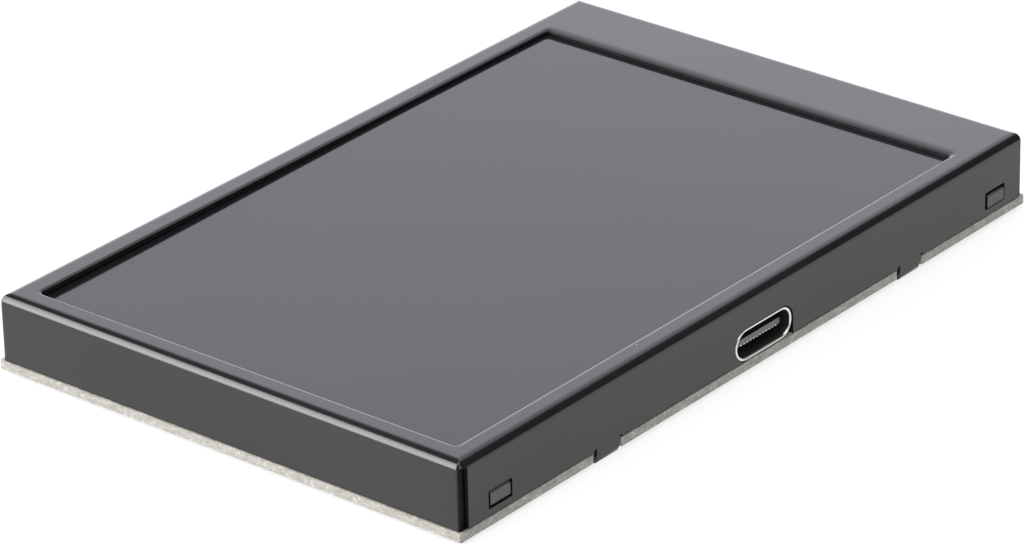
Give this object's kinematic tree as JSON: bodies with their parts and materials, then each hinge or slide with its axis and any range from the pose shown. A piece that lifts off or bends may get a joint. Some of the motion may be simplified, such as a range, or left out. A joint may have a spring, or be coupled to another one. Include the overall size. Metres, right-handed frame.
{
  "type": "tft display module",
  "caption": "Flat rectangular display module: folded black steel bezel round a recessed dark glass, closed by a circuit board with a USB-C receptacle in one long side.",
  "frame": {"origin": "middle of the underside of the box round the part, level with the undersides of the bent tabs that it rests on", "axes": "+Z out of the display, +Y along the long side towards the wide border, +X towards the USB-C receptacle"},
  "size_m": [0.0578, 0.0894, 0.0084],
  "materials": {
    "black_paint": "satin black paint",
    "black_foam": "matt",
    "polarizer": "gloss",
    "glass": "clear",
    "silicon": "polished",
    "polyimide": "satin",
    "film": "satin",
    "guide": "clear",
    "led_body": "satin",
    "tray_steel": "brushed",
    "frame_plastic": "fine texture",
    "board": "black solder mask over pale laminate",
    "shell_steel": "bright",
    "chip_black": "matt",
    "gold": "bright",
    "tin": "satin",
    "ferrite": "matt",
    "ceramic_tan": "satin",
    "ceramic_white": "satin"
  },
  "bodies": {
    "root": {"bezel": "black_paint", "gasket": "black_foam", "front_polarizer": "polarizer", "colour_filter_glass": "glass", "array_glass": "glass", "rear_polarizer": "polarizer", "driver_chip": "silicon", "display_flex": "polyimide", "rim_tape": "black_foam", "upper_prism_film": "film", "lower_prism_film": "film", "diffuser_film": "film", "light_guide": "guide", "reflector_film": "film", "led_strip": "polyimide", "backlight_leds": "led_body", "backlight_tray": "tray_steel", "mid_frame": "frame_plastic", "main_board": "board", "usb_shell": "shell_steel", "usb_insulator": "chip_black", "usb_contacts": "gold", "controller_chip": "chip_black", "flash_chip": "chip_black", "esd_chip": "chip_black", "backlight_driver_chip": "chip_black", "voltage_regulator": "chip_black", "chip_leads": "tin", "crystal": "tray_steel", "boost_inductor": "ferrite", "schottky_diode": "chip_black", "fuse": "ceramic_white", "bulk_capacitors": "ceramic_tan", "chip_capacitors": "ceramic_tan", "chip_resistors": "chip_black", "end_caps": "tin", "flex_pads": "gold", "leg_pads": "tin", "test_pads": "gold"}
  },
  "joints": []
}
